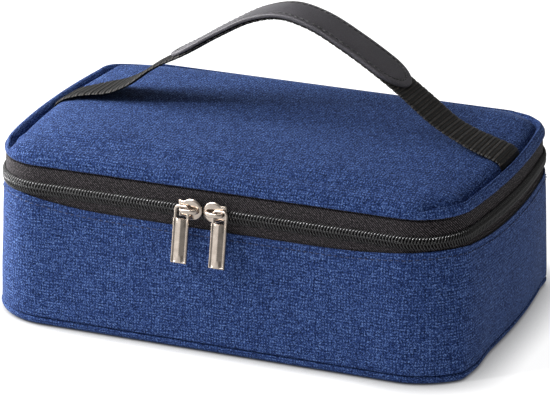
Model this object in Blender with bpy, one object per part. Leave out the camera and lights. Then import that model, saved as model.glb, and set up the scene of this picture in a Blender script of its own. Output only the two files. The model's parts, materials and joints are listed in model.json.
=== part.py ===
"""Soft insulated lunch bag: a zipped lid hinged at the back, a carrying handle and two zip sliders.

Metres, +Z up. The flat underside lies on Z = 0 with its middle at the origin. The long sides run
along X and the front, where the two sliders meet, faces -Y.
"""
import math

import bpy
import bmesh
from mathutils import Matrix, Vector

# Driving dimensions
HALF_LENGTH = 0.1180        # plan outline at the zip, without the bow of the short sides
HALF_DEPTH = 0.0755
CORNER_RADIUS = 0.0286
SIDE_TURN = math.radians(7.3)   # how far each short side turns from its middle to its corner
BASE_GROW = 0.0027          # the outline is this much larger at the bottom seam
LID_INSET = 0.0024          # and this much smaller where the top panel is sewn in
CHAIN_Z = 0.0695            # middle of the closed zip, where the lid parts from the body
CROWN = 0.0064              # rise of the lid's top panel above its seam
STRAP_WIDTH = 0.0250
ARCH_RISE = 0.0533          # how far the handle's arch stands above the lid
GAP = 0.0003                # between pieces that touch

# Heights
BOTTOM_SEAM_Z = 0.0045
BASE_PROFILE = ((-0.0005, 0.0), (0.0015, 0.0014), (BASE_GROW, 0.0034))  # (outward offset, height)
FLOOR_FOAM_TOP = 0.0080
RIM_Z = 0.0614              # top edge of the body's outer fabric
LID_BAND_Z = 0.0800         # bottom edge of the lid's outer fabric
LID_RIDGE_Z = 0.0848        # top edge of the lid's side band, a ridge round the sunken seam
LID_SEAM_Z = 0.0825
LID_LINING_Z = 0.0781

# Thicknesses
FABRIC = 0.0009
FOAM = 0.0035
LINING = 0.0006
TAPE = 0.0010
RIM_BINDING = 0.0016        # height of the tape that caps the foam walls
RIM_DROP = 0.0001           # the binding stays this far below the fabric's top edge
WEBBING = 0.0014
GRIP = 0.0022

# Zip
TAPE_FACE = -0.0006         # outward offset of the tape's face from the plan outline
COIL_FACE = 0.0013
CHAIN_HALF = 0.0035         # half the height of the closed chain
SPLIT_HALF = 0.0009         # half the slot between the two coils
HINGE_OFFSET = COIL_FACE + 0.0001   # the lid turns about a line just behind the zip

# Slider
SLIDER_LENGTH = 0.0120
SLIDER_HALF_HEIGHT = 0.0052
SLIDER_TAIL_HALF = 0.0035
NOSES_X = -0.0044           # where the two noses meet
FRONT_PLATE = (0.0017, 0.0027)      # inner and outer offset of the plate from the outline
REAR_PLATE = (-0.0034, -0.0022)
BRIDGE = (0.0054, 0.0065)
BRIDGE_HALF_WIDTH = 0.0012
BRIDGE_LEG = (0.0022, 0.0036)       # outer and inner face of its front leg, from the nose
POST_HALF = 0.0006
POST = (0.0016, 0.0036)     # its near and far face, from the nose
ROOT = 0.0004               # how far post and bridge reach into the plates they join
PIVOT_FROM_NOSE = 0.0092
NOSE_TURN = math.radians(120)
NOSE_STEPS = 12
RISER_HALF = 0.0009

# Pull
PULL_LEAN = math.radians(11)
PULL_OFFSET = 0.0044        # the pull's middle plane at its pivot, outward from the outline
PULL_HALF_WIDTH = 0.0039
PULL_ABOVE = 0.0031         # from the pivot to the pull's top
PULL_BELOW = 0.0241
WINDOW_HALF_WIDTH = 0.0025
WINDOW_ABOVE = 0.0019
WINDOW_BELOW = 0.0031
PULL_FRAME = 0.0010         # thickness round the window
PULL_BODY = 0.0018
BAR_INSET = 0.0002          # the thick bar begins this far below the window
CUT = 0.0012                # bevelled corners of the pull and the bridge

# Handle
STRAP_Y = 0.005
STRAP_SEAM_Z = 0.0832       # middle of the webbing where it enters the seam
STRAP_CROWN = 0.0051
STRAP_END_X = 0.1176
ARCH_X = 0.003
ARCH_SPAN = 0.157
ARCH_POWER = 2.15
ARCH_LEAN = math.radians(2.7)
HANDLE_AXIS_Z = 0.0875
BREAK_HALF = 0.076          # from the arch's middle to where the swinging part begins
GRIP_X = 0.0044             # middle of the grip
GRIP_HALF = 0.0601
GRIP_WIDTH = 0.0260
GRIP_END_CUTS = (0.0005, 0.002, 0.005, 0.009)   # distances from the grip's end, closer where it curves
SLOPE_STEP = 1e-4           # step in X over which the webbing's slope is measured
STRAP_END_STEPS = 6
ARCH_STEPS = 18
GRIP_STEPS = 12

ARC_STEPS = 6
CROWN_SCALES = (1.0, 0.93, 0.82, 0.6, 0.3)


# --- plan outline -----------------------------------------------------------------------------

def arc(cx, cy, radius, start, end, steps=ARC_STEPS):
    angles = [start + (end - start) * i / steps for i in range(steps + 1)]
    return [(cx + radius * math.cos(a), cy + radius * math.sin(a)) for a in angles]


def outline_arcs(grow):
    """Six arcs of the outline moved outwards by grow, from the back left corner round the front."""
    ix = HALF_LENGTH - CORNER_RADIUS
    iy = HALF_DEPTH - CORNER_RADIUS
    radius = CORNER_RADIUS + grow
    side_radius = (iy + CORNER_RADIUS * math.sin(SIDE_TURN)) / math.sin(SIDE_TURN)
    side_x = ix + (CORNER_RADIUS - side_radius) * math.cos(SIDE_TURN)
    side_radius += grow
    quarter, half, turn = math.pi / 2, math.pi, SIDE_TURN
    return {
        "back_left": arc(-ix, iy, radius, quarter, half - turn),
        "left": arc(-side_x, 0, side_radius, half - turn, half + turn),
        "front_left": arc(-ix, -iy, radius, half + turn, 3 * quarter),
        "front_right": arc(ix, -iy, radius, -quarter, -turn),
        "right": arc(side_x, 0, side_radius, -turn, turn),
        "back_right": arc(ix, iy, radius, turn, quarter),
    }


def outline(grow, stretch="all"):
    """Points of the outline, or of one stretch of it, counter-clockwise seen from above."""
    arcs = outline_arcs(grow)
    if stretch == "front":
        (x, y) = arcs["front_right"][0]
        return [(-x + GAP, y), (x - GAP, y)]
    if stretch == "back":
        (x, y) = arcs["back_right"][-1]
        return [(x - GAP, y), (-x + GAP, y)]
    names = list(arcs)
    if stretch == "left_end":
        names = names[:3]
    if stretch == "right_end":
        names = names[3:]
    points = []
    for name in names:
        for point in arcs[name]:
            if not points or math.dist(points[-1], point) > 1e-6:
                points.append(point)
    return points


# --- mesh helpers -----------------------------------------------------------------------------

def clear_scene():
    for obj in list(bpy.data.objects):
        bpy.data.objects.remove(obj, do_unlink=True)


def material(name, colour, roughness, metallic=0.0):
    made = bpy.data.materials.new(name)
    made.use_nodes = True
    shader = made.node_tree.nodes["Principled BSDF"]
    shader.inputs["Base Color"].default_value = (*colour, 1.0)
    shader.inputs["Roughness"].default_value = roughness
    shader.inputs["Metallic"].default_value = metallic
    return made


def add_mesh(name, bm, slot, parent=None):
    """Turn bm into an object with outward faces; its origin goes to its parent's place."""
    bmesh.ops.recalc_face_normals(bm, faces=bm.faces)
    mesh = bpy.data.meshes.new(name)
    if parent is not None:
        bmesh.ops.translate(bm, verts=bm.verts, vec=-parent.location)
    bm.to_mesh(mesh)
    bm.free()
    mesh.materials.append(slot)
    mesh.shade_smooth()
    mesh.set_sharp_from_angle(angle=math.radians(35))
    obj = bpy.data.objects.new(name, mesh)
    obj.parent = parent
    bpy.context.scene.collection.objects.link(obj)
    return obj


def skin_loops(bm, loops, closed_along=False):
    """Join neighbouring loops of vertices with quads; cap the two ends unless the row closes."""
    rows = [[bm.verts.new(point) for point in loop] for loop in loops]
    pairs = list(zip(rows, rows[1:]))
    if closed_along:
        pairs.append((rows[-1], rows[0]))
    for first, second in pairs:
        count = len(first)
        for i in range(count):
            j = (i + 1) % count
            bm.faces.new((first[i], first[j], second[j], second[i]))
    if not closed_along:
        bm.faces.new(rows[0])
        bm.faces.new(rows[-1])


def band(name, section, stretch, slot, parent=None):
    """A strip that follows the outline; section lists the (grow, z) corners of its cross-section."""
    tracks = [outline(grow, stretch) for grow, z in section]
    heights = [z for grow, z in section]
    loops = []
    for i in range(len(tracks[0])):
        loops.append([(track[i][0], track[i][1], z) for track, z in zip(tracks, heights)])
    bm = bmesh.new()
    skin_loops(bm, loops, closed_along=stretch == "all")
    return add_mesh(name, bm, slot, parent)


def plate(name, layers, slot, parent=None):
    """A slab lofted through (grow, z) outlines, lowest first."""
    loops = [[(x, y, z) for x, y in outline(grow)] for grow, z in layers]
    bm = bmesh.new()
    skin_loops(bm, loops)
    return add_mesh(name, bm, slot, parent)


def dome(grow, edge_z, rise):
    """Loops of a crowned surface, from its edge to near its middle."""
    loops = []
    for scale in CROWN_SCALES:
        z = edge_z + rise * (1 - scale ** 4)
        loops.append([(x * scale, y * scale, z) for x, y in outline(grow)])
    return loops


def box(bm, low, high):
    size = Vector(high) - Vector(low)
    middle = (Vector(high) + Vector(low)) / 2
    placed = Matrix.Translation(middle) @ Matrix.Diagonal((*size, 1.0))
    bmesh.ops.create_cube(bm, size=1.0, matrix=placed)


def unite(target, pieces):
    for piece in pieces:
        piece.hide_render = True
        piece.display_type = "WIRE"
        modifier = target.modifiers.new(piece.name, "BOOLEAN")
        modifier.operation = "UNION"
        modifier.solver = "EXACT"
        modifier.object = piece


def joint_empty(name, place):
    empty = bpy.data.objects.new(name, None)
    empty.location = place
    bpy.context.scene.collection.objects.link(empty)
    return empty


# --- body -------------------------------------------------------------------------------------

def band_inner(z):
    """Outward offset of the inner face of the body's outer fabric at height z."""
    share = (z - BOTTOM_SEAM_Z) / (RIM_Z - BOTTOM_SEAM_Z)
    return BASE_GROW * (1 - share) - FABRIC


def wall(thickness, depth_in, low, high):
    """Cross-section of a layer that lies depth_in behind the outer fabric's inner face."""
    outer = [(band_inner(z) - depth_in, z) for z in (low, high)]
    inner = [(grow - thickness, z) for grow, z in reversed(outer)]
    return outer + inner


def make_base(slots):
    layers = list(BASE_PROFILE) + [(BASE_GROW, BOTTOM_SEAM_Z - GAP)]
    plate("bottom_panel", layers, slots["fabric"])
    grow = band_inner(FLOOR_FOAM_TOP) - GAP
    plate("floor_foam", [(grow, BOTTOM_SEAM_Z), (grow, FLOOR_FOAM_TOP)], slots["foam"])


def make_walls(slots):
    section = [(BASE_GROW, BOTTOM_SEAM_Z + GAP), (0.0, RIM_Z),
               (-FABRIC, RIM_Z), (BASE_GROW - FABRIC, BOTTOM_SEAM_Z + GAP)]
    band("body_side_band", section, "all", slots["fabric"])
    low = FLOOR_FOAM_TOP + GAP
    high = RIM_Z - RIM_BINDING
    foam = wall(FOAM, GAP, low, high)
    for name, stretch in (("front_wall_foam", "front"), ("back_wall_foam", "back"),
                          ("left_wall_foam", "left_end"), ("right_wall_foam", "right_end")):
        band(name, foam, stretch, slots["foam"])
    behind_foam = FOAM + 2 * GAP
    band("wall_lining", wall(LINING, behind_foam, low, high), "all", slots["lining"])
    grow = band_inner(low + LINING) - behind_foam - LINING - GAP
    plate("floor_lining", [(grow, low), (grow, low + LINING)], slots["lining"])
    deep = behind_foam + LINING
    rim = flat_section(-FABRIC - GAP, deep - GAP, high + GAP, RIM_Z - RIM_DROP)
    band("body_rim_binding", rim, "all", slots["binding"])


def flat_section(face, thickness, low, high):
    return [(face, low), (face, high), (face - thickness, high), (face - thickness, low)]


def make_zip_half(side, low, high, slots, parent=None):
    """Tape and coil of one half of the zip, and its half of the hinge strip behind."""
    tape = flat_section(TAPE_FACE, TAPE, low, high)
    band(side + "_zip_tape", tape, "zip", slots["tape"], parent)
    near = CHAIN_Z + math.copysign(SPLIT_HALF, low + high - 2 * CHAIN_Z)
    far = CHAIN_Z + math.copysign(CHAIN_HALF, low + high - 2 * CHAIN_Z)
    thickness = COIL_FACE - TAPE_FACE - GAP
    coil = flat_section(COIL_FACE, thickness, min(near, far), max(near, far))
    band(side + "_zip_coil", coil, "zip", slots["coil"], parent)
    hinge_low = low if low < CHAIN_Z - SPLIT_HALF else CHAIN_Z + GAP
    hinge_high = high if low > CHAIN_Z else CHAIN_Z - GAP
    strip = flat_section(TAPE_FACE, TAPE, hinge_low, hinge_high)
    band(side + "_hinge_strip", strip, "back", slots["fabric"], parent)


# --- lid --------------------------------------------------------------------------------------

def make_lid_panel(slots, parent):
    outer = dome(-LID_INSET, LID_SEAM_Z, CROWN)
    inner = dome(-LID_INSET - 2 * FABRIC, LID_SEAM_Z, CROWN - FABRIC)
    bm = bmesh.new()
    skin_loops(bm, outer[::-1] + inner)
    add_mesh("lid_top_panel", bm, slots["fabric"], parent)


def make_lid(slots, parent):
    ridge = -LID_INSET + FABRIC + GAP
    slope = [(0.0, LID_BAND_Z), (ridge, LID_RIDGE_Z)]
    section = slope + [(grow - FABRIC, z) for grow, z in reversed(slope)]
    band("lid_side_band", section, "all", slots["fabric"], parent)
    make_lid_panel(slots, parent)
    foam_grow = -LID_INSET - 2 * FABRIC - GAP
    foam_low = LID_LINING_Z + LINING + GAP
    bottom = [(x, y, foam_low) for x, y in outline(foam_grow)]
    bm = bmesh.new()
    skin_loops(bm, [bottom] + dome(foam_grow, LID_SEAM_Z - GAP, CROWN - FABRIC))
    add_mesh("lid_foam", bm, slots["foam"], parent)
    plate("lid_lining", [(foam_grow, LID_LINING_Z), (foam_grow, LID_LINING_Z + LINING)],
          slots["lining"], parent)
    face = TAPE_FACE - TAPE - GAP
    ring = flat_section(face, face - foam_grow - GAP, LID_LINING_Z - GAP, LID_BAND_Z - GAP)
    band("lid_rim_binding", ring, "all", slots["binding"], parent)


# --- handle -----------------------------------------------------------------------------------

def strap_z(x):
    """Height of the middle of the webbing above x, before the handle leans back."""
    turn = max(-1.0, min(1.0, (x - ARCH_X) / ARCH_SPAN))
    arch = (0.5 + 0.5 * math.cos(math.pi * turn)) ** ARCH_POWER
    flat = 1 - (abs(x) / STRAP_END_X) ** 4
    return STRAP_SEAM_Z + STRAP_CROWN * flat + ARCH_RISE * arch


def strap_stretch(x):
    """How much taller than thick the sloping webbing is where an upright plane cuts it at x."""
    slope = (strap_z(x + SLOPE_STEP) - strap_z(x - SLOPE_STEP)) / (2 * SLOPE_STEP)
    return math.hypot(1, slope)


def ribbon(stations, low, high):
    """Upright loops of a strap; stations are (x, half width), low and high its faces from its middle."""
    loops = []
    for x, half_width in stations:
        bottom = strap_z(x) + low * strap_stretch(x)
        top = strap_z(x) + high * strap_stretch(x)
        near, far = STRAP_Y - half_width, STRAP_Y + half_width
        loops.append([(x, near, bottom), (x, far, bottom), (x, far, top), (x, near, top)])
    return loops


def lean_back(bm):
    pivot = Vector((0, STRAP_Y, HANDLE_AXIS_Z))
    turned = Matrix.Rotation(-ARCH_LEAN, 3, "X")
    bmesh.ops.rotate(bm, verts=bm.verts, cent=pivot, matrix=turned)


def spaced(start, end, steps):
    return [start + (end - start) * i / steps for i in range(steps + 1)]


def make_strap_ends(slots, parent):
    for name, seam_x, inner_x in (("left_strap_end", -STRAP_END_X, ARCH_X - BREAK_HALF - GAP),
                                  ("right_strap_end", STRAP_END_X, ARCH_X + BREAK_HALF + GAP)):
        stations = [(x, STRAP_WIDTH / 2) for x in spaced(seam_x, inner_x, STRAP_END_STEPS)]
        bm = bmesh.new()
        skin_loops(bm, ribbon(stations, -WEBBING / 2, WEBBING / 2))
        add_mesh(name, bm, slots["webbing"], parent)


def grip_stations():
    """Rounded ends: the half width follows a circle over the last half width of the length."""
    half = GRIP_WIDTH / 2
    stations = list(GRIP_END_CUTS) + spaced(half, 2 * GRIP_HALF - half, GRIP_STEPS)
    stations += [2 * GRIP_HALF - distance for distance in reversed(GRIP_END_CUTS)]
    result = []
    for distance in stations:
        from_end = min(distance, 2 * GRIP_HALF - distance, half)
        width = math.sqrt(half ** 2 - (half - from_end) ** 2)
        result.append((GRIP_X - GRIP_HALF + distance, width))
    return result


def make_handle(slots, parent):
    breaks = (ARCH_X - BREAK_HALF, ARCH_X + BREAK_HALF)
    stations = [(x, STRAP_WIDTH / 2) for x in spaced(*breaks, ARCH_STEPS)]
    bm = bmesh.new()
    skin_loops(bm, ribbon(stations, -WEBBING / 2, WEBBING / 2))
    lean_back(bm)
    add_mesh("handle_webbing", bm, slots["webbing"], parent)
    low = WEBBING / 2 + GAP
    bm = bmesh.new()
    skin_loops(bm, ribbon(grip_stations(), low, low + GRIP))
    lean_back(bm)
    add_mesh("handle_grip", bm, slots["grip"], parent)


# --- zip sliders ------------------------------------------------------------------------------

def front_y(offset):
    return -(HALF_DEPTH + offset)


def slider_outline(side):
    """Plate outline as (x, z): a round nose and a narrower square tail. side is +1 or -1."""
    nose = arc(-SLIDER_HALF_HEIGHT, 0, SLIDER_HALF_HEIGHT, -NOSE_TURN, NOSE_TURN, NOSE_STEPS)
    tail = [(-SLIDER_LENGTH, SLIDER_TAIL_HALF), (-SLIDER_LENGTH, -SLIDER_TAIL_HALF)]
    return [(NOSES_X + side * (x - GAP), CHAIN_Z + z) for x, z in nose + tail]


def slider_plate(name, faces, side, slot, parent):
    bm = bmesh.new()
    skin_loops(bm, [[(x, front_y(offset), z) for x, z in slider_outline(side)] for offset in faces])
    return add_mesh(name, bm, slot, parent)


def slider_bridge(name, side, slot, parent):
    """The arch over the front plate that the pull hangs on, as an outline in X and Y."""
    root = FRONT_PLATE[1] - ROOT
    tail_out = PIVOT_FROM_NOSE + RISER_HALF
    tail_in = PIVOT_FROM_NOSE - RISER_HALF
    nose_out, nose_in = BRIDGE_LEG
    outer = [(tail_out, root), (tail_out, BRIDGE[1] - CUT), (tail_out - CUT, BRIDGE[1]),
             (nose_out + CUT, BRIDGE[1]), (nose_out, BRIDGE[1] - CUT), (nose_out, root)]
    inner = [(nose_in, root), (nose_in, BRIDGE[0]), (tail_in, BRIDGE[0]), (tail_in, root)]
    bm = bmesh.new()
    loops = []
    for z in (CHAIN_Z - BRIDGE_HALF_WIDTH, CHAIN_Z + BRIDGE_HALF_WIDTH):
        loops.append([(NOSES_X - side * (d + GAP), front_y(offset), z) for d, offset in outer + inner])
    skin_loops(bm, loops)
    return add_mesh(name, bm, slot, parent)


def slider_post(name, side, slot, parent):
    xs = sorted(NOSES_X - side * face for face in POST)
    bm = bmesh.new()
    box(bm, (xs[0], front_y(FRONT_PLATE[0] + ROOT), CHAIN_Z - POST_HALF),
        (xs[1], front_y(REAR_PLATE[1] - ROOT), CHAIN_Z + POST_HALF))
    return add_mesh(name, bm, slot, parent)


def make_slider(name, side, slots):
    pivot = joint_empty(name + "_run_axis", (NOSES_X - side * PIVOT_FROM_NOSE, front_y(0), CHAIN_Z))
    slot = slots["nickel"]
    body = slider_plate(name, FRONT_PLATE, side, slot, pivot)
    unite(body, [slider_post(name + "_post", side, slot, pivot),
                 slider_plate(name + "_rear_plate", REAR_PLATE, side, slot, pivot),
                 slider_bridge(name + "_bridge", side, slot, pivot)])


def pull_outline():
    """Outline and window of the pull as (x, z) from its pivot."""
    outer = [(-PULL_HALF_WIDTH, -PULL_BELOW), (PULL_HALF_WIDTH, -PULL_BELOW),
             (PULL_HALF_WIDTH, PULL_ABOVE - CUT), (PULL_HALF_WIDTH - CUT, PULL_ABOVE),
             (-PULL_HALF_WIDTH + CUT, PULL_ABOVE), (-PULL_HALF_WIDTH, PULL_ABOVE - CUT)]
    window = [(-WINDOW_HALF_WIDTH, -WINDOW_BELOW), (WINDOW_HALF_WIDTH, -WINDOW_BELOW),
              (WINDOW_HALF_WIDTH, WINDOW_ABOVE), (-WINDOW_HALF_WIDTH, WINDOW_ABOVE)]
    return outer, window


def make_pull(name, side, slots):
    """A flat bar with a window at its top, leaning out at its foot where it lies on the fabric."""
    pivot = joint_empty(name + "_axis", (NOSES_X - side * (PIVOT_FROM_NOSE + GAP),
                                         front_y(PULL_OFFSET), CHAIN_Z))
    pivot.rotation_euler = (-PULL_LEAN, 0, 0)
    outer, window = pull_outline()
    bm = bmesh.new()
    skin_loops(bm, [[(x, y, z) for x, z in outer] for y in (-PULL_FRAME / 2, PULL_FRAME / 2)])
    body = add_mesh(name, bm, slots["nickel"])
    bm = bmesh.new()
    box(bm, (-PULL_HALF_WIDTH, -PULL_BODY / 2, -PULL_BELOW),
        (PULL_HALF_WIDTH, PULL_BODY / 2, -WINDOW_BELOW - BAR_INSET))
    bar = add_mesh(name + "_bar", bm, slots["nickel"])
    bm = bmesh.new()
    skin_loops(bm, [[(x, y, z) for x, z in window] for y in (-PULL_BODY, PULL_BODY)])
    cutter = add_mesh(name + "_window", bm, slots["nickel"])
    for obj in (body, bar, cutter):
        obj.parent = pivot
    unite(body, [bar])
    cutter.hide_render = True
    cutter.display_type = "WIRE"
    cut = body.modifiers.new("window", "BOOLEAN")
    cut.operation = "DIFFERENCE"
    cut.solver = "EXACT"
    cut.object = cutter


# --- assembly ---------------------------------------------------------------------------------

def make_slots():
    return {
        "fabric": material("blue_fabric", (0.045, 0.090, 0.300), 0.9),
        "foam": material("white_foam", (0.85, 0.86, 0.87), 0.8),
        "lining": material("silver_lining", (0.75, 0.77, 0.80), 0.35, 0.6),
        "binding": material("black_binding", (0.02, 0.02, 0.02), 0.85),
        "tape": material("black_tape", (0.03, 0.027, 0.026), 0.85),
        "coil": material("black_nylon", (0.012, 0.012, 0.012), 0.4),
        "webbing": material("black_webbing", (0.015, 0.015, 0.016), 0.85),
        "grip": material("grey_leather", (0.055, 0.052, 0.055), 0.5),
        "nickel": material("satin_nickel", (0.70, 0.66, 0.58), 0.3, 1.0),
    }


def main():
    clear_scene()
    slots = make_slots()
    make_base(slots)
    make_walls(slots)
    make_zip_half("body", RIM_Z + GAP, CHAIN_Z - SPLIT_HALF, slots)
    hinge = joint_empty("lid_hinge_axis", (0, HALF_DEPTH + HINGE_OFFSET, CHAIN_Z))
    make_zip_half("lid", CHAIN_Z + SPLIT_HALF, LID_BAND_Z - GAP, slots, hinge)
    make_lid(slots, hinge)
    make_strap_ends(slots, hinge)
    handle = joint_empty("handle_axis", (0, STRAP_Y, HANDLE_AXIS_Z))
    make_handle(slots, handle)
    for name, side in (("left_slider", 1), ("right_slider", -1)):
        make_slider(name, side, slots)
        make_pull(name + "_pull", side, slots)


main()
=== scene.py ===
"""Soft insulated lunch bag: cloth, zip, webbing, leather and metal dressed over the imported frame.

Metres, +Z up, front towards -Y, in the frame's own coordinates.
"""
import json
import math

import bmesh
import bpy
import numpy as np
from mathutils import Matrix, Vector, noise


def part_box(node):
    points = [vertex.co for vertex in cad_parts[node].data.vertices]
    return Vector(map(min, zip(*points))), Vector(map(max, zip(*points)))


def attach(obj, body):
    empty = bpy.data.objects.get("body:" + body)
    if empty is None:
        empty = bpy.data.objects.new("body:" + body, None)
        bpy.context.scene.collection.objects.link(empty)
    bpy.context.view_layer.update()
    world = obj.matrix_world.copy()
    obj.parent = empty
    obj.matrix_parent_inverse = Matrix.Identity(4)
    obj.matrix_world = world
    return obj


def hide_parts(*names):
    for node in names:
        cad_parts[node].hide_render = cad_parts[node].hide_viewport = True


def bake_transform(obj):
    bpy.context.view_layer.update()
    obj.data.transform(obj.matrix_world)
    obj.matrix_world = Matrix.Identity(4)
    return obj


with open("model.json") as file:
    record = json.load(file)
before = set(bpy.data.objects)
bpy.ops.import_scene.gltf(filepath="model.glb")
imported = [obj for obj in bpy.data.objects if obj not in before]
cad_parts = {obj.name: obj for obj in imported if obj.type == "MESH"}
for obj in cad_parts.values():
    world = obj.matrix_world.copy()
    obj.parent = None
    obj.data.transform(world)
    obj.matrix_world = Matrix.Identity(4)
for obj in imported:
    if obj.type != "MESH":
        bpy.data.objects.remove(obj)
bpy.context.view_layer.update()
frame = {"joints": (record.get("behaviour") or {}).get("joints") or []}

JOINTS = {joint["name"]: joint for joint in frame["joints"]}
MM = 0.001


def low(node):
    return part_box(node)[0]


def high(node):
    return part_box(node)[1]


# --- sizes that the frame gives ---

TAPE_SINK = 0.6 * MM                    # the zip tape's face lies this far inside the outline
HALF_DEPTH = high("body_zip_tape").y + TAPE_SINK
BOW_HALF = high("body_zip_tape").x + TAPE_SINK
BASE_GROW = high("body_side_band").y - HALF_DEPTH
CHAIN_Z = JOINTS["lid_hinge"]["pos_m"][2]
BASE_SEAM_Z = high("bottom_panel").z
RIM_Z = high("body_side_band").z
LID_EDGE_Z = low("lid_side_band").z
LID_RIDGE_Z = high("lid_side_band").z
LID_SEAM_Z = low("lid_top_panel").z
LID_TOP_Z = high("lid_top_panel").z
LID_INSET = HALF_DEPTH - high("lid_top_panel").y

# --- sizes of the bag's outline ---

CORNER_RADIUS = 28.6 * MM
SIDE_TURN = math.radians(7.3)           # from the middle of a bowed short side to its corner
HALF_LENGTH = BOW_HALF - (HALF_DEPTH - CORNER_RADIUS) * math.tan(SIDE_TURN / 2)
STRAIGHT_HALF = HALF_LENGTH - CORNER_RADIUS
SIDE_RADIUS = (HALF_DEPTH - CORNER_RADIUS) / math.sin(SIDE_TURN) + CORNER_RADIUS
RIGHT_TUCK = 3.6 * MM                   # how far the right side draws in at its foot
FOOT_SWELL = 3.4 * MM                   # how far the foot of the front right corner swells out


# --- the outline, by distance along it ---

def trace_outline(count=12001):
    """Distances, normal angles and places along the outline, anticlockwise from the back's middle."""
    corner_turn = math.pi / 2 - SIDE_TURN
    straight = (STRAIGHT_HALF, 0.0)
    corner = (CORNER_RADIUS * corner_turn, corner_turn)
    side = (SIDE_RADIUS * 2 * SIDE_TURN, 2 * SIDE_TURN)
    stretches = [straight, corner, side, corner, straight] * 2
    knots = np.cumsum([0.0] + [length for length, turn in stretches])
    turns = math.pi / 2 + np.cumsum([0.0] + [turn for length, turn in stretches])
    along = np.linspace(0, knots[-1], count)
    angle = np.interp(along, knots, turns)
    heading = np.stack([-np.sin(angle), np.cos(angle)], 1)
    steps = (heading[1:] + heading[:-1]) / 2 * along[1]
    place = np.vstack([[0.0, 0.0], np.cumsum(steps, 0)]) + (0.0, HALF_DEPTH)
    return knots, along, angle, place


KNOTS, TRACE_S, TRACE_ANGLE, TRACE_XY = trace_outline()
ROUND = KNOTS[-1]                       # length of the outline
FRONT_S = ROUND / 2                     # the front's middle; +X is +s there
ZIP_START = KNOTS[1]
ZIP_END = ROUND - KNOTS[1]
MID_CORNERS = [(KNOTS[i] + KNOTS[i + 1]) / 2 for i in (1, 3, 6, 8)]
SWELL_S = MID_CORNERS[2] + 19 * MM
SWELL_WIDTH = 16 * MM


def outline_at(s):
    """Places (..., 2) and outward normals (..., 2) of the outline at the distances s."""
    s = np.mod(s, ROUND)
    angle = np.interp(s, TRACE_S, TRACE_ANGLE)
    x = np.interp(s, TRACE_S, TRACE_XY[:, 0])
    y = np.interp(s, TRACE_S, TRACE_XY[:, 1])
    return np.stack([x, y], -1), np.stack([np.cos(angle), np.sin(angle)], -1)


def on_track(s, offset, z):
    """Points offset outwards from the outline by offset, at height z; the arrays broadcast."""
    s, offset, z = np.broadcast_arrays(s, offset, z)
    place, normal = outline_at(s)
    foot = np.clip(1 - z / RIM_Z, 0, 1) ** 2
    tuck = RIGHT_TUCK * smooth(normal[..., 0], 0.85, 1.0)
    swell = FOOT_SWELL * near(s, SWELL_S, SWELL_WIDTH)
    flat = place + normal * (offset - (tuck - swell) * foot)[..., None]
    return np.concatenate([flat, z[..., None]], -1)


def smooth(value, start, end):
    t = np.clip((value - start) / (end - start), 0, 1)
    return t * t * (3 - 2 * t)


def near(s, place, width):
    """1 at one place of the outline, falling to 0 over the given width to both sides."""
    away = np.abs(np.mod(s - place + ROUND / 2, ROUND) - ROUND / 2)
    return np.exp(-(away / width) ** 2)


def front_share(s):
    """1 along the front, 0 along the sides and the back; the left corner belongs more to the front."""
    normal = outline_at(s)[1]
    right = normal[..., 0] > 0
    start = np.where(right, 0.80, 0.45)
    end = np.where(right, 0.99, 0.88)
    return smooth(-normal[..., 1], start, end)


def hermite(a, b, slope_a, slope_b, t):
    """The cubic from a to b, with the given slopes at its two ends, as t goes from 0 to 1."""
    return (a * (1 + 2 * t) * (1 - t) ** 2 + slope_a * t * (1 - t) ** 2
            + b * t * t * (3 - 2 * t) - slope_b * t * t * (1 - t))


def through(x, keys):
    """A smooth curve through (place, value) keys."""
    at, value = np.array(keys, float).T
    slope = np.gradient(value, at)
    i = np.clip(np.searchsorted(at, x) - 1, 0, len(at) - 2)
    step = at[i + 1] - at[i]
    t = np.clip((x - at[i]) / step, 0, 1)
    return hermite(value[i], value[i + 1], slope[i] * step, slope[i + 1] * step, t)


def ripple(points, size, seed):
    """Smooth noise from -1 to 1 at each point, for waves of about the given size."""
    shift = Vector((seed * 3.1, seed * 7.7, seed * 1.3))
    flat = points.reshape(-1, 3) / size
    values = [noise.noise(Vector(p) + shift) for p in flat.tolist()]
    return np.array(values).reshape(points.shape[:-1])


# --- mesh helpers ---

TUBE_SIDES = 6


def new_object(name, mesh, look):
    """An object of this mesh in the material with the name look."""
    mesh.materials.append(MATERIALS[look])
    mesh.shade_smooth()
    obj = bpy.data.objects.new(name, mesh)
    bpy.context.scene.collection.objects.link(obj)
    return obj


def mesh_from(name, points, faces, uv):
    mesh = bpy.data.meshes.new(name)
    mesh.from_pydata(points.reshape(-1, 3).tolist(), [], faces.tolist())
    layer = mesh.uv_layers.new(name="UVMap")
    layer.data.foreach_set("uv", uv.astype(np.float32).ravel())
    return mesh


def quads(rows, columns, closed):
    """Corner indices of a grid's faces, and the same for a UV grid that has one column more."""
    r, c = np.meshgrid(np.arange(rows - 1), np.arange(columns if closed else columns - 1), indexing="ij")

    def corners(width, onward):
        row, above = r * width, (r + 1) * width
        return np.stack([row + c, row + onward, above + onward, above + c], -1).reshape(-1, 4)

    return corners(columns, np.mod(c + 1, columns)), corners(columns + 1 if closed else columns, c + 1)


def grid_object(name, points, uv, look, closed=False):
    """A grid of points (rows, columns, 3) as one surface; closed joins the last column to the first."""
    rows, columns = points.shape[:2]
    faces, corners = quads(rows, columns, closed)
    corner_uv = uv.reshape(-1, 2)[corners.ravel()]
    return new_object(name, mesh_from(name, points, faces, corner_uv), look)


def thicken(obj, thickness):
    """Give a surface its thickness, inwards from its outer face."""
    modifier = obj.modifiers.new("thickness", "SOLIDIFY")
    modifier.thickness = thickness
    modifier.offset = -1.0


def place(obj, body, slot, *nodes):
    """Let a finished piece ride on a body and stand for CAD nodes; slot is not used."""
    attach(obj, body)
    if nodes:
        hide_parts(*nodes)
    return obj


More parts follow.
